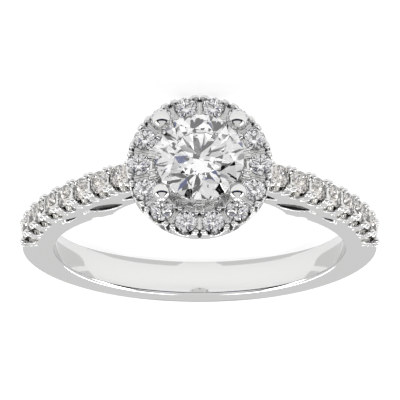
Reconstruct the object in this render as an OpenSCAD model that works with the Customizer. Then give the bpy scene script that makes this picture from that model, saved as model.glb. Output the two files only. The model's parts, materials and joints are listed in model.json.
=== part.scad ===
// Halo ring in white gold: a round brilliant in four ball prongs, a round halo of small stones
// round it, and a row of stones up each shoulder. It lies on its side, as a ring does on a table.
// Millimetres. The mounting is drawn round the finger axis (Z), with the head towards -Y.

/* [Finger] */
// Diameter of the finger hole
finger_d = 17.3; // [15.3:0.1:21]

/* [Band] */
// Radial thickness of the band
band_t = 1.86; // [1.5:0.02:2.2]
// Width of the band at the shoulders
shoulder_w = 1.66; // [1.5:0.02:2]
// Width of the band at its bottom
bottom_w = 2.16; // [1.7:0.02:2.6]
// Radius of the band's rounded outer edges
edge_r = 0.45; // [0.2:0.01:0.6]

/* [Shoulders] */
// Diameter of a shoulder stone
row_stone_d = 1.34; // [1.2:0.01:1.4]
// Distance between shoulder stones along the row
row_pitch = 1.7; // [1.6:0.01:1.8]
// How much higher the row stands above the band where it meets the halo
row_rise = 2.3; // [1.8:0.05:2.8]
// Angle from the head to the first shoulder stone
row_start = 21.5; // [20:0.5:24]
// Angle from the head at which the shoulder starts to rise
rise_start = 84; // [78:1:88]

/* [Head] */
// Diameter of the centre stone
centre_d = 5.15; // [4.8:0.05:5.3]
// Height of the centre stone's girdle over the finger hole
centre_lift = 6.75; // [6.5:0.05:7.5]
// Diameter of the wire of a prong
prong_d = 0.8; // [0.7:0.02:0.9]
// Diameter of a prong's ball tip
prong_ball_d = 1.08; // [0.96:0.02:1.16]

/* [Halo] */
// Diameter of a halo stone
halo_stone_d = 1.28; // [1.15:0.01:1.32]
// Radius of the circle that the halo stones stand on
halo_circle_r = 3.5; // [3.45:0.01:3.7]
// Metal outside the halo stones
halo_rim = 0.08; // [0.05:0.01:0.15]
// Height of the halo's wall
halo_wall_h = 1.02; // [0.95:0.01:1.2]
// Depth of the halo stones below the centre stone
halo_drop = 1.36; // [1.2:0.02:1.5]

/* [Setting] */
// Clearance between a stone and its seat
seat_gap = 0.02; // [0.01:0.005:0.03]
// Diameter of the beads along the shoulders
row_bead_d = 0.38; // [0.3:0.01:0.4]
// Diameter of the beads round the halo
halo_bead_d = 0.36; // [0.3:0.01:0.38]
// Width of the notch cut between two beads
notch_w = 0.3; // [0.2:0.01:0.34]

/* [Hidden] */
$fn = 48;
row_count = 8;
halo_count = 14;

// Stone proportions, as shares of the diameter
table_share = 0.57;
crown_share = 0.155;
girdle_share = 0.03;
pavilion_share = 0.43;
star_share = 0.8;
lower_share = 0.22;

// Band. The stock is metal inside the finger hole's line, which the hole then cuts away.
finger_r = finger_d / 2;
band_r = finger_r + band_t;
flat_r = band_r - edge_r;
hole_stock = band_t * 0.16;

// Shoulders: the outer face lifts by a power curve from rise_start to rise_end
rise_end = 22;
rise_power = 2.25;
row_end = 14.5;
outline_step = 2.5;
row_seat = row_stone_d * 0.075;
row_scallop_r = row_stone_d * 0.375;
row_scallop_deep = row_stone_d * 0.235;
row_bead_z = shoulder_w / 2 - row_bead_d * 0.42;
row_bead_x = row_bead_d * 0.57;

// Head: heights are from the finger axis
girdle_h = finger_r + centre_lift;
ball_h = girdle_h + prong_ball_d * 0.2;
ball_out = centre_d / 2 + prong_ball_d * 0.43;
halo_h = girdle_h - halo_drop;
halo_foot_h = halo_h - halo_wall_h;
halo_r = halo_circle_r + halo_stone_d / 2 + halo_rim;
halo_edge_r = halo_wall_h * 0.15;
halo_hole_r = centre_d * 0.42;
halo_step_r = halo_circle_r - halo_stone_d * 0.64;
halo_step_h = halo_h - halo_wall_h * 0.06;
halo_scallop_r = halo_stone_d * 0.36;
halo_scallop_deep = halo_stone_d * 0.16;

// Between the stones, beads stand in pairs round the halo's outside, and claws round its inside.
// The side values are half the way between a pair.
outer_bead_r = halo_r - halo_bead_d * 0.56;
outer_bead_side = halo_bead_d * 0.583;
claw_d = halo_bead_d * 0.83;
claw_side = claw_d * 0.57;
claw_lift = claw_d / 3;
claw_from_r = halo_circle_r - halo_stone_d * 0.72;
claw_to_r = halo_circle_r - halo_stone_d * 0.46;

// Between the stones the metal is cut away with a V: notches down the walls and valleys across
// the faces. A tilt makes a notch run out towards its foot.
//             width               depth               length           tilt
row_notch =   [notch_w * 1.1,      notch_w * 0.87,     row_pitch,       14];
row_valley =  [row_pitch * 0.24,   row_pitch * 0.18,   bottom_w * 2,    0];
halo_notch =  [notch_w * 1.2,      notch_w * 1.2,      halo_wall_h * 2, 20];
halo_valley = [halo_stone_d * 0.24, halo_stone_d * 0.18, halo_stone_d * 1.5, 0];

// Under the head: the arch that lifts off the finger, and the foot of the prongs
arch_r = finger_r * 0.61;
arch_top_h = finger_r + centre_lift * 0.317;
arch_h = arch_top_h - arch_r;
foot_t = prong_d * 0.9;
foot_h = arch_top_h - foot_t * 0.05;
foot_r = prong_d * 2;
foot_taper = prong_d * 0.25;
foot_out = prong_d * 1.44;
saddle_h = foot_h + foot_t * 0.95;

// Dent in the finger hole where the two strands of a shoulder cross
dent_at = 44;
dent_r = band_t * 0.24;
dent_deep = band_t * 0.11;

// Openings in a shoulder's side, each between two tips. A tip is an angle from the head and a
// share of the way out from the finger hole to the face with the stones. The third figure is
// the opening's width as a share of the band's thickness. tail_share is how wide the drop's tail
// starts, as a share of its round end.
//            first tip      second tip     width
long_leaf = [[40.4, 0.475], [26.3, 0.377], 0.5];
head_leaf = [[24.7, 0.54],  [10.8, 0.637], 0.33];
drop_hole = [[53.9, 0.435], [47.3, 0.385], 0.24];
tail_share = 0.96;

// Lying on its side: the ring leans on the halo's lower edge and the band's bottom edge
band_foot = [flat_r, bottom_w / 2 - edge_r];
halo_foot = [-halo_foot_h - halo_edge_r, halo_r - halo_edge_r];
foot_span = band_foot - halo_foot;
lean = atan2(-foot_span[1], foot_span[0]) - asin((edge_r - halo_edge_r) / norm(foot_span));
rest_lift = edge_r + band_foot[1] * cos(lean) + band_foot[0] * sin(lean);
ball_side = ball_out * sin(45);
head_reach = ball_h * cos(lean) + ball_side * sin(lean) + prong_ball_d / 2;
band_reach = flat_r * cos(lean) + band_foot[1] * sin(lean) + edge_r;
rest_y = (head_reach - band_reach) / 2;

function deg(x) = x * 180 / PI;
// How far along the rise an angle is, and the outer radius and its slope there
function rise_at(a) = max(0, (rise_start - a) / (rise_start - rise_end));
function outer_r(a) = band_r + row_rise * pow(rise_at(a), rise_power);
function outer_slope(a) = -row_rise * rise_power * pow(rise_at(a), rise_power - 1)
    / (rise_start - rise_end) * 180 / PI;
function row_step(a) = deg(row_pitch / norm([outer_r(a), outer_slope(a)]));
// Angle of a place in the row: whole numbers are stones, halves are the gaps between them
function row_angle(i) = i <= 0 ? row_start + i * row_step(row_start)
    : let(b = row_angle(i - 0.5)) b + row_step(b + row_step(b) / 4) / 2;
function face_turn(a) = a - atan(outer_slope(a) / outer_r(a));
function at(r, a) = [r * sin(a), -r * cos(a)];
function halo_angle(i) = 90 + (i + 0.5) * 360 / halo_count;

// Placing

module lay_down() {
    translate([0, rest_y, rest_lift]) rotate([-lean, 0, 0]) children();
}

// Z of the children points out of the head, their Y along the finger
module on_head(h) {
    rotate([90, 0, 0]) translate([0, 0, h]) children();
}

// Z of the children points out of the shoulder's face, their X down the row
module on_shoulder(a, depth = 0) {
    p = at(outer_r(a), a);
    translate([p[0], p[1], 0]) rotate([0, 0, face_turn(a)]) rotate([90, 0, 0])
        translate([0, 0, -depth]) children();
}

module both_sides() {
    children();
    mirror([1, 0, 0]) children();
}

// Stones

// A round brilliant with its girdle's middle at z = 0
module brilliant(d) {
    r = d / 2;
    g = d * girdle_share / 2;
    top = g + d * crown_share;
    table_r = r * table_share;
    crown_slope = (top - g) / (r - table_r);
    star_r = r * star_share;
    star_z = g + (r - star_r * cos(22.5)) * crown_slope;
    deep = d * pavilion_share;
    lower_r = r * lower_share;
    lower_z = -g - (r - lower_r * cos(22.5)) * deep / r;
    points = [
        for (k = [0:7]) [table_r * cos(45 * k), table_r * sin(45 * k), top],
        for (k = [0:7]) [star_r * cos(45 * k + 22.5), star_r * sin(45 * k + 22.5), star_z],
        for (k = [0:15]) [r * cos(22.5 * k), r * sin(22.5 * k), g],
        for (k = [0:15]) [r * cos(22.5 * k), r * sin(22.5 * k), -g],
        for (k = [0:7]) [lower_r * cos(45 * k + 22.5), lower_r * sin(45 * k + 22.5), lower_z],
        [0, 0, -g - deep]
    ];
    star = 8;
    rim = 16;
    under = 32;
    low = 48;
    culet = 56;
    faces = [
        [for (k = [7:-1:0]) k],
        for (k = [0:7]) [k, (k + 1) % 8, star + k],
        for (k = [0:7]) [k, star + k, rim + 2 * k, star + (k + 7) % 8],
        for (k = [0:7]) [star + k, rim + 2 * k + 1, rim + 2 * k],
        for (k = [0:7]) [star + k, rim + (2 * k + 2) % 16, rim + 2 * k + 1],
        for (k = [0:15]) [rim + k, rim + (k + 1) % 16, under + (k + 1) % 16, under + k],
        for (k = [0:7]) [under + 2 * k, under + 2 * k + 1, low + k],
        for (k = [0:7]) [under + 2 * k + 1, under + (2 * k + 2) % 16, low + k],
        for (k = [0:7]) [under + 2 * k, low + k, culet, low + (k + 7) % 8]
    ];
    polyhedron(points, faces);
}

// The hole that a stone sits in. Above the girdle it is open, or follows the crown, so that prongs
// can reach over the stone.
module seat(d, open = true) {
    r = d / 2 + seat_gap;
    g = d * girdle_share / 2 + seat_gap;
    top = open ? d / 2 : g + d * crown_share;
    top_r = open ? r : table_share * d / 2 + seat_gap;
    rotate_extrude()
        polygon([[0, -g - d * pavilion_share], [r, -g], [r, g], [top_r, top], [0, top]]);
}

module centre_stone() {
    color("white") lay_down() on_head(girdle_h) rotate(11.25) brilliant(centre_d);
}

module halo_stone(i) {
    color("white") lay_down() on_head(halo_h)
        rotate(halo_angle(i)) translate([halo_circle_r, 0, 0]) brilliant(halo_stone_d);
}

module row_stone(i) {
    on_shoulder(row_angle(i), row_seat) brilliant(row_stone_d);
}

module right_stone(i) {
    color("white") lay_down() row_stone(i);
}

module left_stone(i) {
    color("white") lay_down() mirror([1, 0, 0]) row_stone(i);
}

// Mounting

// Half of the band's section, rounded at its outer edge
module band_half() {
    w = bottom_w / 2;
    stock_r = finger_r - hole_stock;
    translate([stock_r, 0]) square([flat_r - stock_r, w]);
    translate([stock_r, 0]) square([band_r - stock_r, w - edge_r]);
    translate([flat_r, w - edge_r]) circle(edge_r);
}

module band() {
    rotate_extrude() {
        band_half();
        mirror([0, 1]) band_half();
    }
}

// Seen along X, the band narrows from its bottom to the shoulders
module width_limit() {
    w = bottom_w / 2;
    s = shoulder_w / 2;
    far = 2 * band_r;
    rotate([90, 0, 90]) linear_extrude(2 * far, center = true)
        polygon([[-far, -s], [0, -s], [flat_r, -w], [far, -w], [far, w], [flat_r, w], [0, s], [-far, s]]);
}

// Side view of a shoulder: out to the face that carries the stones, up into the halo's plate, and
// in to the finger
module shoulder_outline() {
    top = at(outer_r(row_end), row_end);
    into_plate = -halo_foot_h - halo_wall_h / 4;
    polygon([
        for (a = [rise_start:-outline_step:row_end]) at(outer_r(a), a),
        top,
        [top[0], into_plate],
        [halo_hole_r, into_plate],
        [foot_r, -saddle_h],
        [0, -saddle_h],
        [0, -finger_r],
        at(finger_r - hole_stock, rise_start)
    ]);
}

function tip(t) = at(finger_r + t[1] * (outer_r(t[0]) - finger_r), t[0]);

// Draws its children from the opening's first tip, with X along it
module along(hole) {
    way = tip(hole[1]) - tip(hole[0]);
    translate(tip(hole[0])) rotate(atan2(way[1], way[0])) children();
}

// Two pointed tips, between two arcs
module leaf(hole) {
    half = norm(tip(hole[1]) - tip(hole[0])) / 2;
    s = hole[2] * band_t / 2;
    r = (half * half + s * s) / (2 * s);
    along(hole) translate([half, 0]) intersection() {
        translate([0, s - r]) circle(r);
        translate([0, r - s]) circle(r);
    }
}

// A round end, and a tail to the second tip
module drop(hole) {
    r = hole[2] * band_t / 2;
    along(hole) {
        circle(r);
        polygon([[0, r * tail_share], [norm(tip(hole[1]) - tip(hole[0])), 0], [0, -r * tail_share]]);
    }
}

module shoulder() {
    linear_extrude(bottom_w, center = true) shoulder_outline();
}

module side_openings() {
    linear_extrude(2 * bottom_w, center = true) {
        leaf(long_leaf);
        leaf(head_leaf);
        drop(drop_hole);
    }
}

module halo_plate() {
    on_head(0) rotate_extrude() {
        translate([halo_step_r, halo_foot_h + halo_edge_r])
            square([halo_r - halo_step_r, halo_wall_h - halo_edge_r]);
        translate([halo_hole_r, halo_foot_h])
            square([halo_r - halo_edge_r - halo_hole_r, halo_step_h - halo_foot_h]);
        translate([halo_r - halo_edge_r, halo_foot_h + halo_edge_r]) circle(halo_edge_r);
    }
}

// The prongs lean outwards from their foot to their ball tips
module prong() {
    run = ball_out - foot_out;
    climb = ball_h - foot_h - foot_t / 2;
    translate([foot_out, 0, foot_h + foot_t / 2]) rotate([0, atan2(run, climb), 0])
        cylinder(d = prong_d, h = norm([run, climb]));
    translate([ball_out, 0, ball_h]) sphere(d = prong_ball_d);
}

module head() {
    on_head(0) {
        translate([0, 0, foot_h]) cylinder(r1 = foot_r - foot_taper, r2 = foot_r, h = foot_t);
        for (k = [0:3]) rotate(45 + 90 * k) prong();
    }
    halo_plate();
}

// A V-shaped cut along Z, deepest along X
module v_cut(cut) {
    rotate([0, -cut[3], 0]) linear_extrude(cut[2], center = true)
        polygon([[cut[1], 0], [0, cut[0] / 2], [-cut[1], 0], [0, -cut[0] / 2]]);
}

// Cuts for one shoulder: seats, the scallops that bare the stones' sides, notches and valleys
module row_cuts() {
    for (i = [0:row_count - 1]) on_shoulder(row_angle(i)) {
        translate([0, 0, -row_seat]) seat(row_stone_d);
        translate([0, 0, -row_scallop_deep]) rotate([90, 0, 0])
            cylinder(r = row_scallop_r, h = 2 * bottom_w, center = true);
    }
    for (i = [0:row_count]) on_shoulder(row_angle(i - 0.5)) {
        for (side = [-90, 90]) rotate(side) translate([shoulder_w / 2, 0, 0]) v_cut(row_notch);
        rotate([90, 90, 0]) v_cut(row_valley);
    }
}

module row_beads() {
    for (i = [0:row_count]) on_shoulder(row_angle(i - 0.5)) for (side = [-1, 1], x = [-1, 1])
        if (i > 0 || x > 0) translate([x * row_bead_x, side * row_bead_z, 0]) sphere(d = row_bead_d);
}

module halo_cuts() {
    on_head(halo_h) for (i = [0:halo_count - 1]) {
        rotate(halo_angle(i)) translate([halo_circle_r, 0, 0]) {
            seat(halo_stone_d);
            translate([0, 0, -halo_scallop_deep]) rotate([0, 90, 0])
                cylinder(r = halo_scallop_r, h = halo_stone_d);
        }
        rotate(halo_angle(i + 0.5)) {
            translate([halo_r, 0, 0]) v_cut(halo_notch);
            translate([halo_circle_r, 0, 0]) rotate([0, 90, 0]) v_cut(halo_valley);
        }
    }
}

module claw() {
    length = claw_to_r - claw_from_r;
    rotate([0, 90, 0]) cylinder(d = claw_d, h = length);
    for (x = [0, length]) translate([x, 0, 0]) sphere(d = claw_d);
}

module halo_beads() {
    on_head(halo_h) for (i = [0:halo_count - 1], side = [-1, 1]) rotate(halo_angle(i + 0.5)) {
        translate([outer_bead_r, side * outer_bead_side, 0]) sphere(d = halo_bead_d);
        translate([claw_from_r, side * claw_side, claw_lift]) claw();
    }
}

module finger_hole() {
    far = 2 * bottom_w;
    dent = at(finger_r + dent_deep - dent_r, dent_at);
    cylinder(r = finger_r, h = far, center = true, $fn = 96);
    translate([0, -arch_h, 0]) cylinder(r = arch_r, h = far, center = true);
    both_sides() translate(dent) cylinder(r = dent_r, h = far, center = true);
}

module mounting() {
    color("gainsboro") lay_down() {
        difference() {
            union() {
                intersection() {
                    union() {
                        band();
                        both_sides() shoulder();
                    }
                    width_limit();
                }
                head();
            }
            finger_hole();
            both_sides() {
                side_openings();
                row_cuts();
            }
            halo_cuts();
            on_head(girdle_h) seat(centre_d, open = false);
        }
        both_sides() row_beads();
        halo_beads();
    }
}

mounting();
centre_stone();
halo_stone(0);  // halo_stone_01
halo_stone(1);  // halo_stone_02
halo_stone(2);  // halo_stone_03
halo_stone(3);  // halo_stone_04
halo_stone(4);  // halo_stone_05
halo_stone(5);  // halo_stone_06
halo_stone(6);  // halo_stone_07
halo_stone(7);  // halo_stone_08
halo_stone(8);  // halo_stone_09
halo_stone(9);  // halo_stone_10
halo_stone(10);  // halo_stone_11
halo_stone(11);  // halo_stone_12
halo_stone(12);  // halo_stone_13
halo_stone(13);  // halo_stone_14
left_stone(0);  // left_stone_1
left_stone(1);  // left_stone_2
left_stone(2);  // left_stone_3
left_stone(3);  // left_stone_4
left_stone(4);  // left_stone_5
left_stone(5);  // left_stone_6
left_stone(6);  // left_stone_7
left_stone(7);  // left_stone_8
right_stone(0);  // right_stone_1
right_stone(1);  // right_stone_2
right_stone(2);  // right_stone_3
right_stone(3);  // right_stone_4
right_stone(4);  // right_stone_5
right_stone(5);  // right_stone_6
right_stone(6);  // right_stone_7
right_stone(7);  // right_stone_8
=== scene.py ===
import contextlib
import json
import math

import bmesh
import bpy
import numpy
from mathutils import Matrix, Vector


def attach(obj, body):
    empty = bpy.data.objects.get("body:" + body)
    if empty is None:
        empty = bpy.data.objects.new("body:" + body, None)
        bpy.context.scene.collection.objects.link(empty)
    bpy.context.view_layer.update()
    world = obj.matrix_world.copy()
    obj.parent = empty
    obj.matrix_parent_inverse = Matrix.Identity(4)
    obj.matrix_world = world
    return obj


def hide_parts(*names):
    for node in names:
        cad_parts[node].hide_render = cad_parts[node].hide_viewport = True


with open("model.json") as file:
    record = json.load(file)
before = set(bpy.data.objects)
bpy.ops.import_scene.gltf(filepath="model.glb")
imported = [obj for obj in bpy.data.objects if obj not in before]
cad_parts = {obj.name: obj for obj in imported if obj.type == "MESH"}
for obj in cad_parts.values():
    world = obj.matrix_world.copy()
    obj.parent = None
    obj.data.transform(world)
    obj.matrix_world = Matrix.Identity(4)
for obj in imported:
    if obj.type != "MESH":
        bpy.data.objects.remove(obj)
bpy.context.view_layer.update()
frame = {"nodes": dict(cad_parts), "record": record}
print("frame loaded:", len(frame["nodes"]), "nodes")

# The metal is modelled in millimetres round the finger hole, with its axis as Z and the head
# towards -Y, and then laid down and turned to metres where the frame has the hole.
fingerHole = next(m for m in frame["record"]["mounts"] if m["name"] == "finger_hole")
fingerR = fingerHole["dims"]["r_mm"]
lean = math.atan2(fingerHole["axis"][1], fingerHole["axis"][2])
toMetres = Matrix.Scale(0.001, 4)
layDown = Matrix.Translation(fingerHole["pos_m"]) @ Matrix.Rotation(-lean, 4, "X") @ toMetres
# The head's own frame has Z out of the head and Y along the finger
headFrame = Matrix.Rotation(math.radians(90), 4, "X")
joinAt = 90  # degrees from the head to where the shoulders end and the plain band starts


# Small tools

def addNode(tree, kind, settings=None, links=None):
    # A node with its properties or input values, and the sockets that feed it
    node = tree.nodes.new(kind)
    for key, value in (settings or {}).items():
        if isinstance(key, str) and hasattr(node, key):
            setattr(node, key, value)
        else:
            node.inputs[key].default_value = value
    for key, source in (links or {}).items():
        tree.links.new(source, node.inputs[key])
    return node


def hexColour(code):
    # sRGB hex to Blender's linear colour
    parts = [int(code[i:i + 2], 16) / 255 for i in (1, 3, 5)]
    return [p / 12.92 if p <= 0.04045 else ((p + 0.055) / 1.055) ** 2.4 for p in parts] + [1]


def newMaterial(name, values):
    # A material whose shader has the given values on its own sockets
    material = bpy.data.materials.new(name)
    material.use_nodes = True
    surface = material.node_tree.nodes["Principled BSDF"]
    for socket, value in values.items():
        surface.inputs[socket].default_value = value
    return material


def newObject(name, data):
    thing = bpy.data.objects.new(name, data)
    bpy.context.scene.collection.objects.link(thing)
    return thing


@contextlib.contextmanager
def editing(thing):
    # The thing's mesh, opened for changes and closed again
    shape = bmesh.new()
    shape.from_mesh(thing.data)
    yield shape
    shape.to_mesh(thing.data)
    shape.free()


def makeObject(name, points, faces):
    # Faces are turned outwards
    mesh = bpy.data.meshes.new(name)
    mesh.from_pydata([tuple(p) for p in points], [], faces)
    thing = newObject(name, mesh)
    with editing(thing) as shape:
        bmesh.ops.recalc_face_normals(shape, faces=shape.faces)
    return thing


def settle(thing):
    # The modifiers' result becomes the thing's own plain mesh
    bpy.context.view_layer.update()
    graph = bpy.context.evaluated_depsgraph_get()
    mesh = bpy.data.meshes.new_from_object(thing.evaluated_get(graph))
    thing.modifiers.clear()
    thing.data = mesh
    return thing


def move(thing, *steps):
    # Each step is a matrix, and the last one given acts first
    whole = Matrix.Identity(4)
    for step in steps:
        whole = whole @ step
    thing.data.transform(whole)
    return thing


def shift(x, y, z):
    return Matrix.Translation((x, y, z))


def turn(degrees, axis):
    return Matrix.Rotation(math.radians(degrees), 4, axis)


def lathe(name, profile, steps, closed=False):
    # Turns (radius, height) pairs round Z. An open profile starts and ends on the axis.
    points, rings = [], []
    for radius, height in profile:
        if radius < 1e-6:
            rings.append([len(points)] * steps)
            points.append((0, 0, height))
            continue
        rings.append(range(len(points), len(points) + steps))
        for k in range(steps):
            angle = 2 * math.pi * k / steps
            points.append((radius * math.cos(angle), radius * math.sin(angle), height))
    faces = []
    for low, high in zip(rings, rings[1:] + (rings[:1] if closed else [])):
        for k in range(steps):
            n = (k + 1) % steps
            corners = list(dict.fromkeys([low[k], low[n], high[n], high[k]]))
            if len(corners) > 2:
                faces.append(corners)
    return makeObject(name, points, faces)


def rod(name, radius, low, high, steps=64):
    return lathe(name, [(0, low), (radius, low), (radius, high), (0, high)], steps)


def ball(name, across, steps=24):
    r = across / 2
    turns = [math.pi * k / (steps // 2) for k in range(steps // 2 + 1)]
    profile = [(r * math.sin(t), -r * math.cos(t)) for t in turns]
    profile[0], profile[-1] = (0, -r), (0, r)
    return lathe(name, profile, steps)


def capsule(name, across, length, steps=24):
    # A rod along Z with round ends, their middles at 0 and at its length
    r = across / 2
    turns = [math.pi * k / steps for k in range(steps // 2 + 1)]
    low = [(r * math.sin(t), -r * math.cos(t)) for t in turns]
    high = [(radius, length - height) for radius, height in reversed(low)]
    low[0], high[-1] = (0, -r), (0, length + r)
    return lathe(name, low + high, steps)


def loft(name, layers):
    # Outlines in X and Y, each at its own Z and all with as many points, joined to a solid
    count = len(layers[0][1])
    points = [(x, y, z) for z, outline in layers for x, y in outline]
    faces = [list(range(count)), list(range(len(points) - count, len(points)))]
    for start in range(0, len(points) - count, count):
        for k in range(count):
            n = (k + 1) % count
            faces.append([start + k, start + n, start + count + n, start + count + k])
    return makeObject(name, points, faces)


def slab(name, outline, low, high):
    return loft(name, [(low, outline), (high, outline)])


def vCut(name, cut):
    # A V-shaped cutter along Z, deepest along X. A tilt makes it run out towards its foot.
    wide, deep, length, tilt = cut
    corners = [(deep, 0), (0, wide / 2), (-deep, 0), (0, -wide / 2)]
    return move(slab(name, corners, -length / 2, length / 2), turn(-tilt, "Y"))


def mirrored(thing, name):
    # The same piece on the ring's other side, with its faces turned right again
    mesh = thing.data.copy()
    mesh.transform(Matrix.Scale(-1, 4, (1, 0, 0)))
    mesh.flip_normals()
    return newObject(name, mesh)


def fuse(name, things):
    # Joins closed solids in one mesh, which the casting then makes one skin
    shape = bmesh.new()
    for thing in things:
        shape.from_mesh(thing.data)
        bpy.data.objects.remove(thing)
    mesh = bpy.data.meshes.new(name)
    shape.to_mesh(mesh)
    shape.free()
    return newObject(name, mesh)


def carve(blank, *cutters):
    # Each cutter's solids stay clear of one another
    for cutter in cutters:
        cut = blank.modifiers.new("carve", "BOOLEAN")
        cut.operation = "DIFFERENCE"
        cut.solver = "MANIFOLD"
        cut.object = cutter
        settle(blank)
        bpy.data.objects.remove(cutter)
    return blank


def castInMetal(thing, grain, softness):
    # One skin over the joined solids, with edges as soft as casting and polishing leave them
    skin = thing.modifiers.new("skin", "REMESH")
    skin.mode = "VOXEL"
    skin.voxel_size = grain
    skin.use_smooth_shade = True
    polish = thing.modifiers.new("polish", "SMOOTH")
    polish.factor = 0.5
    polish.iterations = softness
    return settle(thing)


def trim(thing, point, outwards):
    # Cuts off what lies past a plane and closes the cut, with an edge that leaves the shading be
    with editing(thing) as shape:
        everything = shape.verts[:] + shape.edges[:] + shape.faces[:]
        bmesh.ops.bisect_plane(shape, geom=everything, dist=1e-6, plane_co=point,
                               plane_no=outwards, clear_outer=True)
        rim = [edge for edge in shape.edges if edge.is_boundary]
        for edge in rim:
            edge.smooth = False
        bmesh.ops.holes_fill(shape, edges=rim, sides=0)


# Metal

metalLook = {
    "colour": "#dfdfde",         # rhodium over white gold, a light grey
    "roughness": (0.03, 0.09),   # a mirror, a little cloudy where the wheel passed last
    "cloudAcross": 1.6,          # millimetres from one cloud of polish to the next
    "cloudRange": (0.3, 0.7),    # the part of the noise that is spread over the roughness
    "lineAcross": 0.09,          # polishing lines, drawn coarser than the real ones to show at all
    "lineStretch": 0.12,         # how much slower they change round the finger than across
    "lineDepth": 0.0016,
    "lineStrength": 0.15,
    # painted shade: the dark colour below darkens the metal in the troughs round the stones and in
    # the halo's notches, where shade falls
    "shadeColour": "#454341",
    "shadeRoughness": 0.4,
    "shadeFrom": 0.2,          # millimetres under the stones' face
    "shadeTo": 0.55,           # a share of a stone's width
}


def makeMetal():
    # White gold, cast, polished and rhodium plated: bright clean reflections with thin dark lines
    material = newMaterial("whiteGoldPolished",
                           {"Base Color": hexColour(metalLook["colour"]), "Metallic": 1})
    tree = material.node_tree
    surface = tree.nodes["Principled BSDF"]
    place = addNode(tree, "ShaderNodeTexCoord").outputs["Object"]  # in metres
    clouds = addNode(tree, "ShaderNodeTexNoise",
                     {"Scale": 1000 / metalLook["cloudAcross"], "Detail": 3}, {"Vector": place})
    fromLow, fromHigh = metalLook["cloudRange"]
    toLow, toHigh = metalLook["roughness"]
    rough = addNode(tree, "ShaderNodeMapRange",
                    {"From Min": fromLow, "From Max": fromHigh, "To Min": toLow, "To Max": toHigh},
                    {"Value": clouds.outputs["Fac"]})
    tree.links.new(rough.outputs["Result"], surface.inputs["Roughness"])
    # Lines run round the finger, as the wheel does
    slow = metalLook["lineStretch"]
    stretched = addNode(tree, "ShaderNodeMapping", {"Scale": (slow, slow, 1)}, {"Vector": place})
    lines = addNode(tree, "ShaderNodeTexNoise",
                    {"Scale": 1000 / metalLook["lineAcross"], "Detail": 2},
                    {"Vector": stretched.outputs["Vector"]})
    bump = addNode(tree, "ShaderNodeBump", {"Strength": metalLook["lineStrength"],
                                            "Distance": metalLook["lineDepth"] / 1000},
                   {"Height": lines.outputs["Fac"]})
    tree.links.new(bump.outputs["Normal"], surface.inputs["Normal"])
    return material


def makePaintedShadeMetal():
    # The same gold with painted shade: a dark colour where the metal round a stone and in the
    # notches lies in shade, and a rougher finish
    return newMaterial("whiteGoldPaintedShade", {"Base Color": hexColour(metalLook["shadeColour"]),
                                            "Metallic": 1,
                                            "Roughness": metalLook["shadeRoughness"]})


metal = makeMetal()
paintedShadeMetal = makePaintedShadeMetal()


def isTrough(deep, stoneAcross):
    # The depths at which the metal round a row of stones gets the painted shade
    return (deep > metalLook["shadeFrom"]) & (deep < stoneAcross * metalLook["shadeTo"])


def dress(thing, isShaded=None):
    # Polished all over, but for the faces that the given rule picks by their middles, which get the
    # dark painted-shade metal
    thing.data.materials.clear()
    thing.data.materials.append(metal)
    if isShaded:
        thing.data.materials.append(paintedShadeMetal)
        middles = numpy.empty(len(thing.data.polygons) * 3)
        thing.data.polygons.foreach_get("center", middles)
        shadedFaces = isShaded(*middles.reshape(-1, 3).T)
        thing.data.polygons.foreach_set("material_index", shadedFaces.astype("int32"))
    return thing


# Trees that set pieces out along the shoulder and round the halo

def startTree(name, sizes):
    # Returns the tree and its inputs: the path, the given sizes and what both trees need
    tree = bpy.data.node_groups.new(name, "GeometryNodeTree")
    sockets = [("Geometry", "Geometry"), ("Count", "Int")] + [(size, "Float") for size in sizes]
    for socket, kind in sockets + [("Piece", "Object"), ("Material", "Material")]:
        tree.interface.new_socket(socket, in_out="INPUT", socket_type="NodeSocket" + kind)
    tree.interface.new_socket("Geometry", in_out="OUTPUT", socket_type="NodeSocketGeometry")
    return tree, addNode(tree, "NodeGroupInput").outputs


def endTree(tree, inputs, spots, facing):
    # The piece on each spot, as real geometry in its material
    piece = addNode(tree, "GeometryNodeObjectInfo", {}, {"Object": inputs["Piece"]})
    placed = addNode(tree, "GeometryNodeInstanceOnPoints", {},
                     {"Points": spots, "Instance": piece.outputs["Geometry"], "Rotation": facing})
    real = addNode(tree, "GeometryNodeRealizeInstances", {}, {"Geometry": placed.outputs[0]})
    painted = addNode(tree, "GeometryNodeSetMaterial", {},
                      {"Geometry": real.outputs[0], "Material": inputs["Material"]})
    addNode(tree, "NodeGroupOutput", {}, {"Geometry": painted.outputs[0]})


def makeRowTree():
    # Pieces at equal steps along a path, upright on its outer side
    tree, inputs = startTree("alongPath", [])
    path = addNode(tree, "GeometryNodeMeshToCurve", {}, {"Mesh": inputs["Geometry"]})
    steps = addNode(tree, "GeometryNodeCurveToPoints", {"mode": "COUNT"},
                    {"Curve": path.outputs[0], "Count": inputs["Count"]}).outputs
    outwards = addNode(tree, "ShaderNodeVectorMath", {"operation": "CROSS_PRODUCT", 1: (0, 0, 1)},
                       {0: steps["Tangent"]})
    facing = addNode(tree, "FunctionNodeAxesToRotation",
                     {"primary_axis": "Z", "secondary_axis": "X"},
                     {"Primary Axis": outwards.outputs[0], "Secondary Axis": steps["Tangent"]})
    endTree(tree, inputs, steps["Points"], facing.outputs[0])
    return tree


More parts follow.
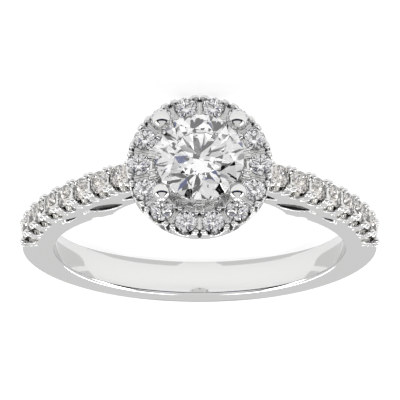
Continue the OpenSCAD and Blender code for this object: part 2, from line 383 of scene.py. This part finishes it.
def makeHaloTree():
    # Pieces at equal turns round Z, each turned to face outwards
    tree, inputs = startTree("roundHalo", ["Circle Radius", "First Turn"])
    index = addNode(tree, "GeometryNodeInputIndex")
    full = addNode(tree, "ShaderNodeMath", {"operation": "DIVIDE", 0: 2 * math.pi},
                   {1: inputs["Count"]})
    angle = addNode(tree, "ShaderNodeMath", {"operation": "MULTIPLY_ADD"},
                    {0: index.outputs[0], 1: full.outputs[0], 2: inputs["First Turn"]})
    across = addNode(tree, "ShaderNodeMath", {"operation": "COSINE"}, {0: angle.outputs[0]})
    along = addNode(tree, "ShaderNodeMath", {"operation": "SINE"}, {0: angle.outputs[0]})
    way = addNode(tree, "ShaderNodeCombineXYZ", {}, {"X": across.outputs[0], "Y": along.outputs[0]})
    place = addNode(tree, "ShaderNodeVectorMath", {"operation": "SCALE"},
                    {0: way.outputs[0], "Scale": inputs["Circle Radius"]})
    spots = addNode(tree, "GeometryNodePoints", {},
                    {"Count": inputs["Count"], "Position": place.outputs[0]})
    facing = addNode(tree, "FunctionNodeAxesToRotation",
                     {"primary_axis": "X", "secondary_axis": "Z", "Secondary Axis": (0, 0, 1)},
                     {"Primary Axis": way.outputs[0]})
    endTree(tree, inputs, spots.outputs[0], facing.outputs[0])
    return tree


rowTree = makeRowTree()
haloTree = makeHaloTree()


def setOut(name, tree, path, values):
    # Runs a tree on a path of points, with its inputs set by name before it is first worked out
    mesh = bpy.data.meshes.new(name)
    mesh.from_pydata(path, [(k, k + 1) for k in range(len(path) - 1)], [])
    thing = newObject(name, mesh)
    nodes = thing.modifiers.new("set out", "NODES")
    nodes.node_group = tree
    values = dict(values, Material=metal)
    for socket in tree.interface.items_tree:
        if socket.in_out == "INPUT" and socket.name in values:
            nodes[socket.identifier] = values[socket.name]
    settle(thing)
    bpy.data.objects.remove(values["Piece"])
    return thing


# Seats for the stones

seatShape = {
    # shares of a stone's width
    "pavilion": 0.43,
    "girdle": 0.015,     # half its height
    "crown": 0.155,
    "table": 0.285,      # half its width
    "reach": 0.6,        # how far an open seat is cut away above the girdle
    "clearance": 0.02,   # in millimetres
}


def stoneSeat(name, across, isOpen=True):
    # A cone under the girdle. Above it, open, or following the crown for prongs that reach over it.
    gap = seatShape["clearance"]
    r = across / 2 + gap
    girdle = across * seatShape["girdle"] + gap
    if isOpen:
        top = across * seatShape["reach"]
        above = [(r, top), (0, top)]
    else:
        top = girdle + across * seatShape["crown"]
        above = [(r, girdle), (across * seatShape["table"] + gap, top), (0, top)]
    tip = -girdle - across * seatShape["pavilion"]
    return lathe(name, [(0, tip), (r, -girdle)] + above, steps=48)


# Shoulders. Angles are in degrees from the head.

row = {
    "bandThick": 1.86,
    "wide": 1.66,             # width of the shoulder along the finger
    "rise": 2.3,              # how much higher the row stands at the halo than on the band
    "riseStart": 84,
    "riseEnd": 22,
    "risePower": 2.25,
    "stoneAcross": 1.34,
    "stones": 8,
    "pitch": 1.7,
    "firstStone": 21.5,
    "lastMetal": 14.5,
    "beadAcross": 0.38,
    "bevel": (0.25, 0.42),    # how far the edge under the beads is cut back, and how far down
    "bevelOver": 8,           # degrees over which it starts
    # width, depth, length and tilt of the V between two beads, and of the one across the face
    "notch": (0.33, 0.3, 1.7, 33),
    "valley": (0.41, 0.31, 4.3, 0),
    # openings in the side: two tips as (angle, share of the way out), then the width as a share of
    # the band's thickness
    "longLeaf": ((40.4, 0.475), (26.3, 0.377), 0.5),
    "headLeaf": ((24.7, 0.54), (10.8, 0.637), 0.33),
    "dropHole": ((53.9, 0.435), (47.3, 0.385), 0.24),
    "line": 0.15,             # width and depth of the engraved line from one opening to the next
    "lineEnd": (61, 0.4),     # the tip where it runs out, past the drop
    "dentAt": 44,             # the dent in the finger hole where a shoulder's two strands cross
    "polished": 0.46,         # how far in from the side the metal stays polished, free of the painted shade
    "grain": 0.046,           # of the casting, in millimetres
    "softness": 2,            # rounds of polishing its edges
}
row["seatDeep"] = row["stoneAcross"] * 0.075
row["scallopR"] = row["stoneAcross"] * 0.375
row["scallopDeep"] = row["stoneAcross"] * 0.235
row["beadSide"] = row["beadAcross"] * 0.57
row["beadOut"] = row["wide"] / 2 - row["bevel"][0]
row["dentR"] = row["bandThick"] * 0.24
row["dentDeep"] = row["bandThick"] * 0.11
row["far"] = row["wide"] * 2  # cutters reach past both sides
bandR = fingerR + row["bandThick"]


def smoothStep(x):
    x = min(1, max(0, x))
    return x * x * (3 - 2 * x)


def at(radius, a):
    return (radius * math.sin(math.radians(a)), -radius * math.cos(math.radians(a)))


def riseAt(a):
    return numpy.maximum(0, (row["riseStart"] - a) / (row["riseStart"] - row["riseEnd"]))


def outerR(a):
    return bandR + row["rise"] * riseAt(a) ** row["risePower"]


def outerSlope(a):
    # Millimetres per radian
    span = math.radians(row["riseStart"] - row["riseEnd"])
    return -row["rise"] * row["risePower"] * riseAt(a) ** (row["risePower"] - 1) / span


def rowStep(a):
    return math.degrees(row["pitch"] / math.hypot(outerR(a), outerSlope(a)))


def rowAngle(i):
    # Whole numbers are stones, halves are the gaps between them
    if i <= 0:
        return row["firstStone"] + i * rowStep(row["firstStone"])
    before = rowAngle(i - 0.5)
    return before + rowStep(before + rowStep(before) / 4) / 2


def facePath(first, last):
    # The shoulder's outer face between two places of the row
    start, end = rowAngle(first), rowAngle(last)
    count = 160
    angles = [start + (end - start) * k / count for k in range(count + 1)]
    return [(*at(outerR(a), a), 0) for a in angles]


def alongRow(name, piece, first, last):
    # The piece at every place from the first to the last, both with or both without a half
    count = round(last - first) + 1
    return setOut(name, rowTree, facePath(first, last), {"Count": count, "Piece": piece})


def tipPoints(firstTip, lastTip):
    # Two tips as points, and the directions along and across
    first, last = (Vector(at(fingerR + share * (outerR(angle) - fingerR), angle))
                   for angle, share in (firstTip, lastTip))
    along = (last - first).normalized()
    return first, last, along, Vector((-along.y, along.x))


def leafOutline(hole, count=14):
    # Two arcs from tip to tip
    first, last, along, side = tipPoints(*hole[:2])
    half = (last - first).length / 2
    sag = hole[2] * row["bandThick"] / 2
    radius = (half * half + sag * sag) / (2 * sag)
    sweep = math.asin(half / radius)
    middle = (first + last) / 2
    points = []
    for sign in (1, -1):
        for k in range(count):
            t = sign * sweep * (2 * k / count - 1)
            out = sign * (radius * math.cos(t) - radius + sag)
            points.append(middle + along * radius * math.sin(t) + side * out)
    return [tuple(p) for p in points]


def dropOutline(hole, count=16):
    # Round at its first tip and pointed at its last
    first, last, along, side = tipPoints(*hole[:2])
    r = hole[2] * row["bandThick"] / 2
    points = [last]
    for k in range(count + 1):
        t = math.pi / 2 + math.pi * k / count
        points.append(first + along * r * math.cos(t) + side * r * math.sin(t))
    return [tuple(p) for p in points]


def engravedLine(firstTip, lastTip):
    # A cutter along each side face, which narrows towards the last tip
    first, last, along, side = tipPoints(firstTip, lastTip)
    along, side = along * row["line"] / 2, side * row["line"] / 2
    outline = [first + side, last + along, first - side]
    half = row["wide"] / 2
    return [slab("lineCut", outline, *sorted((sign * (half - row["line"]), sign * (half + 1))))
            for sign in (-1, 1)]


def archCutter(far):
    arch = rod("archCut", head["archR"], -far, far, steps=240)
    return move(arch, shift(0, -head["archMiddle"], 0))


def shoulderOutline(lowered):
    # The face with the stones sinks towards the sides, but not where the plain band starts
    past = joinAt + 4  # degrees, a little past the join with the plain band
    step = 0.5
    face = []
    for k in range(int((past - row["lastMetal"]) / step) + 1):
        a = past - k * step
        sunk = lowered * smoothStep((row["riseStart"] - a) / row["bevelOver"])
        face.append(at(outerR(a) - sunk, a))
    # The rest goes up into the halo, over the ring's middle and into the finger hole. The hole, the
    # arch and the trimming cut it back.
    plate = -head["haloFoot"] - head["wallHigh"] / 4
    overMiddle = -0.4
    intoHole = 0.3
    return face + [(face[-1][0], plate), (head["holeR"], plate), (head["footR"], -head["saddle"]),
                   (overMiddle, -head["saddle"]), (overMiddle, -fingerR),
                   at(fingerR - intoHole, past)]


def makeShoulderBlank():
    # The shoulder before its stones, with the openings, lines and dent
    half, beadOut, far = row["wide"] / 2, row["beadOut"], row["far"]
    top, edge = shoulderOutline(0), shoulderOutline(row["bevel"][1])
    blank = loft("shoulder", [(-half, edge), (-beadOut, top), (beadOut, top), (half, edge)])
    hole = rod("fingerCut", fingerR, -far, far, steps=360)
    dentPlace = at(fingerR + row["dentDeep"] - row["dentR"], row["dentAt"])
    dent = move(rod("dentCut", row["dentR"], -far, far), shift(*dentPlace, 0))
    openings = [slab("leafCut", leafOutline(row["longLeaf"]), -far, far),
                slab("headLeafCut", leafOutline(row["headLeaf"]), -far, far),
                slab("dropCut", dropOutline(row["dropHole"]), -far, far)]
    lines = (engravedLine(row["longLeaf"][0], row["dropHole"][1])
             + engravedLine(row["dropHole"][0], row["lineEnd"]))
    return carve(blank, hole, archCutter(far), dent, *openings, *lines)


def cutRow(blank):
    # Seats and hollows at the stones, and V cuts between them
    far, last = row["far"], row["stones"] - 1
    seat = move(stoneSeat("seat", row["stoneAcross"]), shift(0, 0, -row["seatDeep"]))
    scallop = move(rod("scallop", row["scallopR"], -far, far, steps=48),
                   shift(0, 0, -row["scallopDeep"]), turn(90, "X"))
    valley = move(vCut("valley", row["valley"]), turn(90, "X"), turn(90, "Z"))
    cutters = [alongRow("seats", seat, 0, last), alongRow("scallops", scallop, 0, last),
               alongRow("valleys", valley, -0.5, last + 0.5)]
    for side in (-90, 90):
        notch = move(vCut("notch", row["notch"]), turn(side, "Z"), shift(row["beadOut"], 0, 0))
        cutters.append(alongRow("notches", notch, -0.5, last + 0.5))
    return carve(blank, *cutters)


def makeRowBeads():
    # Four to a gap, but two in the gap next to the head
    beads = []
    for way, first in ((-1, 0.5), (1, -0.5)):
        for side in (-1, 1):
            bead = move(ball("bead", row["beadAcross"]),
                        shift(way * row["beadSide"], side * row["beadOut"], 0))
            beads.append(alongRow("beads", bead, first, row["stones"] - 0.5))
    return beads


def isShadedInRow(x, y, z):
    # Painted shade on the trough the stones sit in, where shade falls
    angle = numpy.degrees(numpy.arctan2(x, -y))
    deep = outerR(angle) - numpy.hypot(x, y)
    inside = row["wide"] / 2 - numpy.abs(z)
    inRow = (angle < rowAngle(row["stones"] - 0.5)) & (angle > 0)
    return inRow & (inside > row["polished"]) & isTrough(deep, row["stoneAcross"])


def makeShoulder():
    pieces = [cutRow(makeShoulderBlank())] + makeRowBeads()
    whole = castInMetal(fuse("rightShoulder", pieces), row["grain"], row["softness"])
    trim(whole, (0, 0, 0), (0, 1, 0))    # at the plain band
    trim(whole, (0, 0, 0), (-1, 0, 0))   # and at the ring's middle
    return dress(whole, isShadedInRow)


# Head and halo

head = {
    "centreAcross": 5.15,
    "lift": 6.75,                       # the centre stone's girdle over the finger hole
    "prongAcross": 0.8,
    "prongTurns": (45, 135, 225, 315),
    "ballAcross": 1.08,
    "haloStone": 1.28,
    "haloCircle": 3.5,
    "haloStones": 14,
    "rim": 0.08,
    "wallHigh": 1.02,
    "drop": 1.36,                       # the halo stones below the centre stone
    "beadAcross": 0.36,
    "clawAcross": 0.3,
    # width, depth, length and tilt of the V down the wall, and of the one across the face
    "notch": (0.36, 0.36, 2.04, 20),
    "valley": (0.31, 0.23, 1.92, 0),
    "polished": 0.3,                    # how far in from the wall the metal stays polished, free of the painted shade
    "shadeIn": 0.6,                   # and how far in from the stones' circle the painted shade reaches
    "wallSkin": 0.035,                  # the notches get painted shade from this deep in the wall,
    "wallTop": 0.1,                     # and from this far down it
    "far": 5,                           # the arch's cutter reaches past both sides
    "grain": 0.044,                     # of the casting
    "softness": 2,                      # rounds of polishing its edges
}
# Heights are from the finger hole's middle
head["girdle"] = fingerR + head["lift"]
head["ballUp"] = head["girdle"] + head["ballAcross"] * 0.2
head["ballOut"] = head["centreAcross"] / 2 + head["ballAcross"] * 0.43
head["haloTop"] = head["girdle"] - head["drop"]
head["haloFoot"] = head["haloTop"] - head["wallHigh"]
head["haloR"] = head["haloCircle"] + head["haloStone"] / 2 + head["rim"]
head["haloEdge"] = head["wallHigh"] * 0.15
head["holeR"] = head["centreAcross"] * 0.42
head["stepR"] = head["haloCircle"] - head["haloStone"] * 0.64
head["stepUp"] = head["haloTop"] - head["wallHigh"] * 0.06
head["scallopR"] = head["haloStone"] * 0.36
head["scallopUp"] = head["haloTop"] - head["haloStone"] * 0.02
head["beadR"] = head["haloR"] - head["beadAcross"] * 0.56
head["beadSide"] = head["beadAcross"] * 0.583
head["clawR"] = head["haloCircle"] - head["haloStone"] * 0.72
head["clawSide"] = head["clawAcross"] * 0.57
head["clawUp"] = head["haloTop"] + head["clawAcross"] / 3
head["clawLong"] = head["haloStone"] * 0.26
head["archR"] = fingerR * 0.61
head["archTop"] = fingerR + head["lift"] * 0.317
head["archMiddle"] = head["archTop"] - head["archR"]
head["footThick"] = head["prongAcross"] * 0.9
head["footUp"] = head["archTop"] - head["footThick"] * 0.05
head["footR"] = head["prongAcross"] * 2
head["footTaper"] = head["prongAcross"] * 0.25
head["footOut"] = head["prongAcross"] * 1.44
head["saddle"] = head["footUp"] + head["footThick"] * 0.95


def roundHalo(name, piece, radius, height, isBetween=False):
    # The piece at every stone, or between every two of them
    step = 360 / head["haloStones"]
    first = math.radians(90 + (1 if isBetween else 0.5) * step)
    thing = setOut(name, haloTree, [(0, 0, 0)],
                   {"Count": head["haloStones"], "Circle Radius": radius, "First Turn": first,
                    "Piece": piece})
    return move(thing, shift(0, 0, height))


def makePlate():
    # The halo's wall with a round lower edge, and a floor inside it that the seats are cut in
    outer, edge, foot = head["haloR"], head["haloEdge"], head["haloFoot"]
    edgeSteps = 6
    profile = [(head["holeR"], foot)]
    for k in range(edgeSteps + 1):
        t = math.radians(90 * k / edgeSteps)
        profile.append((outer - edge + edge * math.sin(t), foot + edge - edge * math.cos(t)))
    profile += [(outer, head["haloTop"]), (head["stepR"], head["haloTop"]),
                (head["stepR"], head["stepUp"]), (head["holeR"], head["stepUp"])]
    return lathe("plate", profile, steps=240, closed=True)


def cutHalo(plate):
    # Seats and hollows at the stones, and V cuts between them
    stone, top, circle = head["haloStone"], head["haloTop"], head["haloCircle"]
    scallop = move(rod("haloScallop", head["scallopR"], 0, stone, steps=48), turn(90, "Y"))
    valley = move(vCut("haloValley", head["valley"]), turn(90, "Y"))
    notch = vCut("haloNotch", head["notch"])
    return carve(plate, roundHalo("haloSeats", stoneSeat("haloSeat", stone), circle, top),
                 roundHalo("haloScallops", scallop, circle, head["scallopUp"]),
                 roundHalo("haloNotches", notch, head["haloR"], top, True),
                 roundHalo("haloValleys", valley, circle, top, True))


def makeHaloBeads():
    # Between two stones, a pair of beads on the wall and a pair of claws inside the circle
    beads = []
    for side in (-1, 1):
        bead = move(ball("bead", head["beadAcross"]), shift(0, side * head["beadSide"], 0))
        beads.append(roundHalo("outerBeads", bead, head["beadR"], head["haloTop"], True))
        claw = move(capsule("claw", head["clawAcross"], head["clawLong"]), turn(90, "Y"),
                    shift(0, side * head["clawSide"], 0))
        beads.append(roundHalo("innerClaws", claw, head["clawR"], head["clawUp"], True))
    return beads


def makeProngs():
    # Four wires that lean out from the foot, and the balls at their tops
    wires, tips = [], []
    run = head["ballOut"] - head["footOut"]
    climb = head["ballUp"] - head["footUp"] - head["footThick"] / 2
    leaning = turn(math.degrees(math.atan2(run, climb)), "Y")
    bottom = shift(head["footOut"], 0, head["footUp"] + head["footThick"] / 2)
    top = shift(head["ballOut"], 0, head["ballUp"])
    for corner in head["prongTurns"]:
        wire = rod("prong", head["prongAcross"] / 2, 0, math.hypot(run, climb), steps=48)
        wires.append(move(wire, turn(corner, "Z"), bottom, leaning))
        tips.append(move(ball("tip", head["ballAcross"], steps=48), turn(corner, "Z"), top))
    return wires + tips


def makeFoot():
    # The block that the prongs stand in, over the arch
    low, high = head["footUp"], head["footUp"] + head["footThick"]
    outer, taper = head["footR"], head["footTaper"]
    return lathe("foot", [(0, low), (outer - taper, low), (outer, high), (0, high)], steps=96)


def isShadedInHalo(x, y, z):
    # Painted shade on the trough the stones sit in and in the notches down the wall, where shade
    # falls. The head is in its place in the ring here, where -Y is up.
    fromAxis = numpy.hypot(x, z)
    deep = head["haloTop"] + y
    trough = (fromAxis < head["haloR"] - head["polished"]) & isTrough(deep, head["haloStone"])
    trough &= fromAxis > head["haloCircle"] - head["shadeIn"]
    step = 2 * math.pi / head["haloStones"]
    turned = numpy.arctan2(z, x) - math.pi / 2 + step / 2
    fromGap = numpy.abs(turned % step - step / 2) * fromAxis
    wide, notchDeep = head["notch"][:2]
    inWall = (head["haloR"] - fromAxis > head["wallSkin"]) & (head["haloR"] - fromAxis < notchDeep)
    inWall &= (deep > head["wallTop"]) & (deep < head["wallHigh"])
    return trough | (inWall & (fromGap < wide / 2))


def makeHead():
    # Two pieces: the halo, and the prongs with their foot
    plate, prongs = cutHalo(makePlate()), makeProngs()
    for piece in [plate] + prongs:
        seat = stoneSeat("centreSeat", head["centreAcross"], isOpen=False)
        carve(piece, move(seat, shift(0, 0, head["girdle"])))
    halo = fuse("halo", [plate] + makeHaloBeads())
    prongs = fuse("prongs", [makeFoot()] + prongs)
    for part in (halo, prongs):
        castInMetal(move(part, headFrame), head["grain"], head["softness"])
    return dress(halo, isShadedInHalo), dress(carve(prongs, archCutter(head["far"])))


# Plain band

band = {
    "wide": 2.16,        # width at the bottom of the ring
    "outerEdge": 0.45,
    "innerEdge": 0.2,
    "edgeAtJoin": 0.07,
    "easeOver": 50,      # degrees over which the edge gets its full roundness
    "edgeSteps": 8,
    "steps": 240,
}


def bandSection(a):
    # Points (radius, height) round the section, with rounded corners
    towardsBottom = -math.cos(math.radians(a))
    half = (row["wide"] + (band["wide"] - row["wide"]) * smoothStep(towardsBottom)) / 2
    eased = smoothStep(min(a - joinAt, 360 - joinAt - a) / band["easeOver"])
    outerEdge, innerEdge = (band["edgeAtJoin"] + (band[edge] - band["edgeAtJoin"]) * eased
                            for edge in ("outerEdge", "innerEdge"))
    corners = [(bandR, half, outerEdge, 0), (fingerR, half, innerEdge, 90),
               (fingerR, -half, innerEdge, 180), (bandR, -half, outerEdge, 270)]
    points = []
    for radius, height, edge, start in corners:
        inR = radius - edge if radius > fingerR else radius + edge
        inH = height - edge if height > 0 else height + edge
        for k in range(band["edgeSteps"] + 1):
            t = math.radians(start + 90 * k / band["edgeSteps"])
            points.append((inR + edge * math.cos(t), inH + edge * math.sin(t)))
    return points


def makeBand():
    points, faces = [], []
    count = band["steps"]
    for s in range(count + 1):
        a = joinAt + (360 - 2 * joinAt) * s / count
        section = bandSection(a)
        points += [(*at(radius, a), height) for radius, height in section]
    size = len(section)
    for s in range(count):
        for k in range(size):
            n = (k + 1) % size
            faces.append([s * size + k, s * size + n, (s + 1) * size + n, (s + 1) * size + k])
    ends = [list(range(size)), list(range(count * size, (count + 1) * size))]
    thing = makeObject("band", points, faces + ends)
    thing.data.polygons.foreach_set("use_smooth", [True] * len(thing.data.polygons))
    with editing(thing) as shape:
        for end in (face for face in shape.faces if len(face.verts) > 4):
            for edge in end.edges:
                edge.smooth = False
    return dress(thing)


def finish(piece):
    # Lays a metal piece down in the frame, in the mounting's stead
    move(piece, layDown)
    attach(piece, "root")
    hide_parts("mounting")
    print(piece.name, "made,", len(piece.data.polygons), "faces")


finish(makeBand())
rightShoulder = makeShoulder()
leftShoulder = mirrored(rightShoulder, "leftShoulder")
finish(rightShoulder)
finish(leftShoulder)
for part in makeHead():
    finish(part)


# Stones

stoneLook = {
    "ior": 2.417,
    "roughness": 0,
    # how the nodes' names start, and the material's name and tint; the shoulder stones look warmer
    "kinds": [("centre", "diamondCentre", "#ffffff"), ("halo", "diamondHalo", "#fdfdff"),
              (("left", "right"), "diamondShoulder", "#fffaf4")],
}


def makeDiamond(name, tint):
    # Diamond, cut and polished: sharp mirror-like facets that flash white and black
    return newMaterial(name, {"Base Color": hexColour(tint), "IOR": stoneLook["ior"],
                              "Roughness": stoneLook["roughness"], "Transmission Weight": 1})


def dressStones():
    for start, name, tint in stoneLook["kinds"]:
        diamond = makeDiamond(name, tint)
        for key, node in frame["nodes"].items():
            if key.startswith(start):
                node.data.materials.clear()
                node.data.materials.append(diamond)


dressStones()
print("stones dressed")


# Floor

table = {
    "size": 1.2,           # metres
    "colour": "#8c8c8c",
    "roughness": 0.9,
    "gloss": 0.1,
    "glow": 0.82,          # light that comes up through it
}


def makeFloor():
    # A light table, milk-white acrylic lit from below, so shadows on it stay faint
    half = table["size"] / 2
    corners = [(-half, -half, 0), (half, -half, 0), (half, half, 0), (-half, half, 0)]
    floor = makeObject("floor", corners, [[0, 1, 2, 3]])
    floor.data.materials.append(newMaterial("acrylicLitFromBelow", {
        "Base Color": hexColour(table["colour"]), "Roughness": table["roughness"],
        "Specular IOR Level": table["gloss"], "Emission Color": (1, 1, 1, 1),
        "Emission Strength": table["glow"]}))


# Two grey cards lie on the table inside the ring. The camera doesn't see them, but the polished
# hole does.
greyCard = {
    # corners in millimetres from the hole's middle, on the right side
    "corners": [(6.75, 5.5), (0.8, 6.5), (1.0, 8.5), (4.5, 8.0), (7.6, 5.2), (9.3, 1.0), (8.3, 1.0)],
    "light": 0.76,
    "ground": 0.05,        # millimetres over the table
}


def makeGreyCards():
    # Matt card, evenly lit
    material = newMaterial("greyCard", {
        "Base Color": (0, 0, 0, 1), "Specular IOR Level": 0, "Emission Color": (1, 1, 1, 1),
        "Emission Strength": greyCard["light"]})
    middle = fingerHole["pos_m"][1] * 1000
    for side in (-1, 1):
        corners = [(side * x, y + middle, greyCard["ground"]) for x, y in greyCard["corners"]]
        card = move(makeObject("greyCard", corners, [list(range(len(corners)))]), toMetres)
        card.data.materials.append(material)
        card.visible_camera = False


makeFloor()
makeGreyCards()
print("table laid")


# Light: a pale tent with cards hung in it. Heights are sines, from the table (0) to the top (1),
# and turns are degrees to either side from the front, where the camera stands.

tent = {
    "light": [(-0.05, 1.1), (0, 0.9), (0.1, 0.75), (0.5, 0.8), (1, 0.75)],  # by height
    "softTurn": 2,
    "softHeight": 0.02,
    # each card: from and to turn, from and to height, light, colour. A card across the front
    # starts a degree before it, so that its soft edge doesn't show.
    "cards": [
        (105, 190, -0.02, 0.07, 0.25, "#ffffff"),   # dark gap between table and tent, at the back
        (-1, 76, 0.11, 0.97, 0.01, "#ffffff"),      # black frame in front
        (22, 32, 0.11, 0.45, 0.45, "#3a55b0"),      # something blue in it, for the stones
        (-1, 60, 0.45, 0.97, 0.85, "#ffffff"),      # and the pale card that it holds
        (-1, 190, 0.91, 1.1, 0.85, "#ffffff"),      # pale card overhead
        (84, 98, 0.3, 0.85, 6, "#ffffff"),          # a lamp to each side, for the stones' fire
        (160, 172, 0.4, 0.85, 6, "#ffffff"),        # and two behind
    ],
}


def within(tree, value, low, high, soft):
    # 1 between low and high, 0 outside, with soft edges
    shares = []
    for edge, sign in ((low, 1), (high, -1)):
        share = addNode(tree, "ShaderNodeMapRange",
                        {"interpolation_type": "SMOOTHSTEP", "From Min": edge - sign * soft / 2,
                         "From Max": edge + sign * soft / 2}, {"Value": value})
        shares.append(share.outputs[0])
    return addNode(tree, "ShaderNodeMath", {"operation": "MULTIPLY"},
                   {0: shares[0], 1: shares[1]}).outputs[0]


def makeTent():
    world = bpy.data.worlds.new("paleTent")
    bpy.context.scene.world = world
    world.use_nodes = True
    tree = world.node_tree
    tree.nodes.clear()
    way = addNode(tree, "ShaderNodeTexCoord").outputs["Generated"]
    parts = addNode(tree, "ShaderNodeSeparateXYZ", {}, {"Vector": way}).outputs
    front = addNode(tree, "ShaderNodeMath", {"operation": "MULTIPLY", 1: -1}, {0: parts["Y"]})
    bearing = addNode(tree, "ShaderNodeMath", {"operation": "ARCTAN2"},
                      {0: parts["X"], 1: front.outputs[0]})
    turned = addNode(tree, "ShaderNodeMath", {"operation": "ABSOLUTE"}, {0: bearing.outputs[0]})
    height = addNode(tree, "ShaderNodeMapRange", {"From Min": -1, "From Max": 1},
                     {"Value": parts["Z"]})
    ramp = addNode(tree, "ShaderNodeValToRGB", {}, {"Fac": height.outputs[0]})
    stops = ramp.color_ramp.elements
    for k, (level, light) in enumerate(tent["light"]):
        position = 0.5 + level / 2
        stop = stops[k] if k < 2 else stops.new(position)  # a new ramp has two stops
        stop.position = position
        stop.color = (light, light, light, 1)
    sky = ramp.outputs["Color"]
    for left, right, low, high, light, colour in tent["cards"]:
        across = within(tree, turned.outputs[0], math.radians(left), math.radians(right),
                        math.radians(tent["softTurn"]))
        upright = within(tree, parts["Z"], low, high, tent["softHeight"])
        card = addNode(tree, "ShaderNodeMath", {"operation": "MULTIPLY"}, {0: across, 1: upright})
        glow = [light * part for part in hexColour(colour)[:3]] + [1]
        # Its colours are inputs 6 and 7
        mixed = addNode(tree, "ShaderNodeMix", {"data_type": "RGBA", 7: glow},
                        {0: card.outputs[0], 6: sky})
        sky = mixed.outputs[2]
    light = addNode(tree, "ShaderNodeBackground", {}, {"Color": sky})
    addNode(tree, "ShaderNodeOutputWorld", {}, {"Surface": light.outputs[0]})


makeTent()
print("tent lit")


# Camera: it looks at the head from above the floor, and is turned over, so that the picture has
# the ring the same way up as the photograph. The image is 400 x 400.

cameraSettings = {
    "tilt": 72.65,       # degrees from the finger axis to the line of sight
    "away": 400,         # millimetres
    "lens": 606,
    "aimUp": 2.15,       # millimetres from the hole's middle to the picture's middle
    "aimRight": 0.024,
}


def makeCamera():
    camera = newObject("camera", bpy.data.cameras.new("camera"))
    bpy.context.scene.camera = camera
    camera.data.lens = cameraSettings["lens"]
    camera.data.clip_start = 0.01
    tilt = math.radians(cameraSettings["tilt"])
    laid = layDown.to_3x3().normalized()
    back = laid @ Vector((0, -math.sin(tilt), math.cos(tilt)))
    up = laid @ Vector((0, -math.cos(tilt), -math.sin(tilt)))
    right = up.cross(back)
    aside = up * cameraSettings["aimUp"] + right * cameraSettings["aimRight"]
    place = Vector(fingerHole["pos_m"]) + (aside + back * cameraSettings["away"]) * 0.001
    facing = Matrix((right, up, back)).transposed().to_4x4()
    camera.matrix_world = Matrix.Translation(place) @ facing


makeCamera()
bpy.context.scene.view_settings.view_transform = "Standard"
print("camera set")

print("ready")
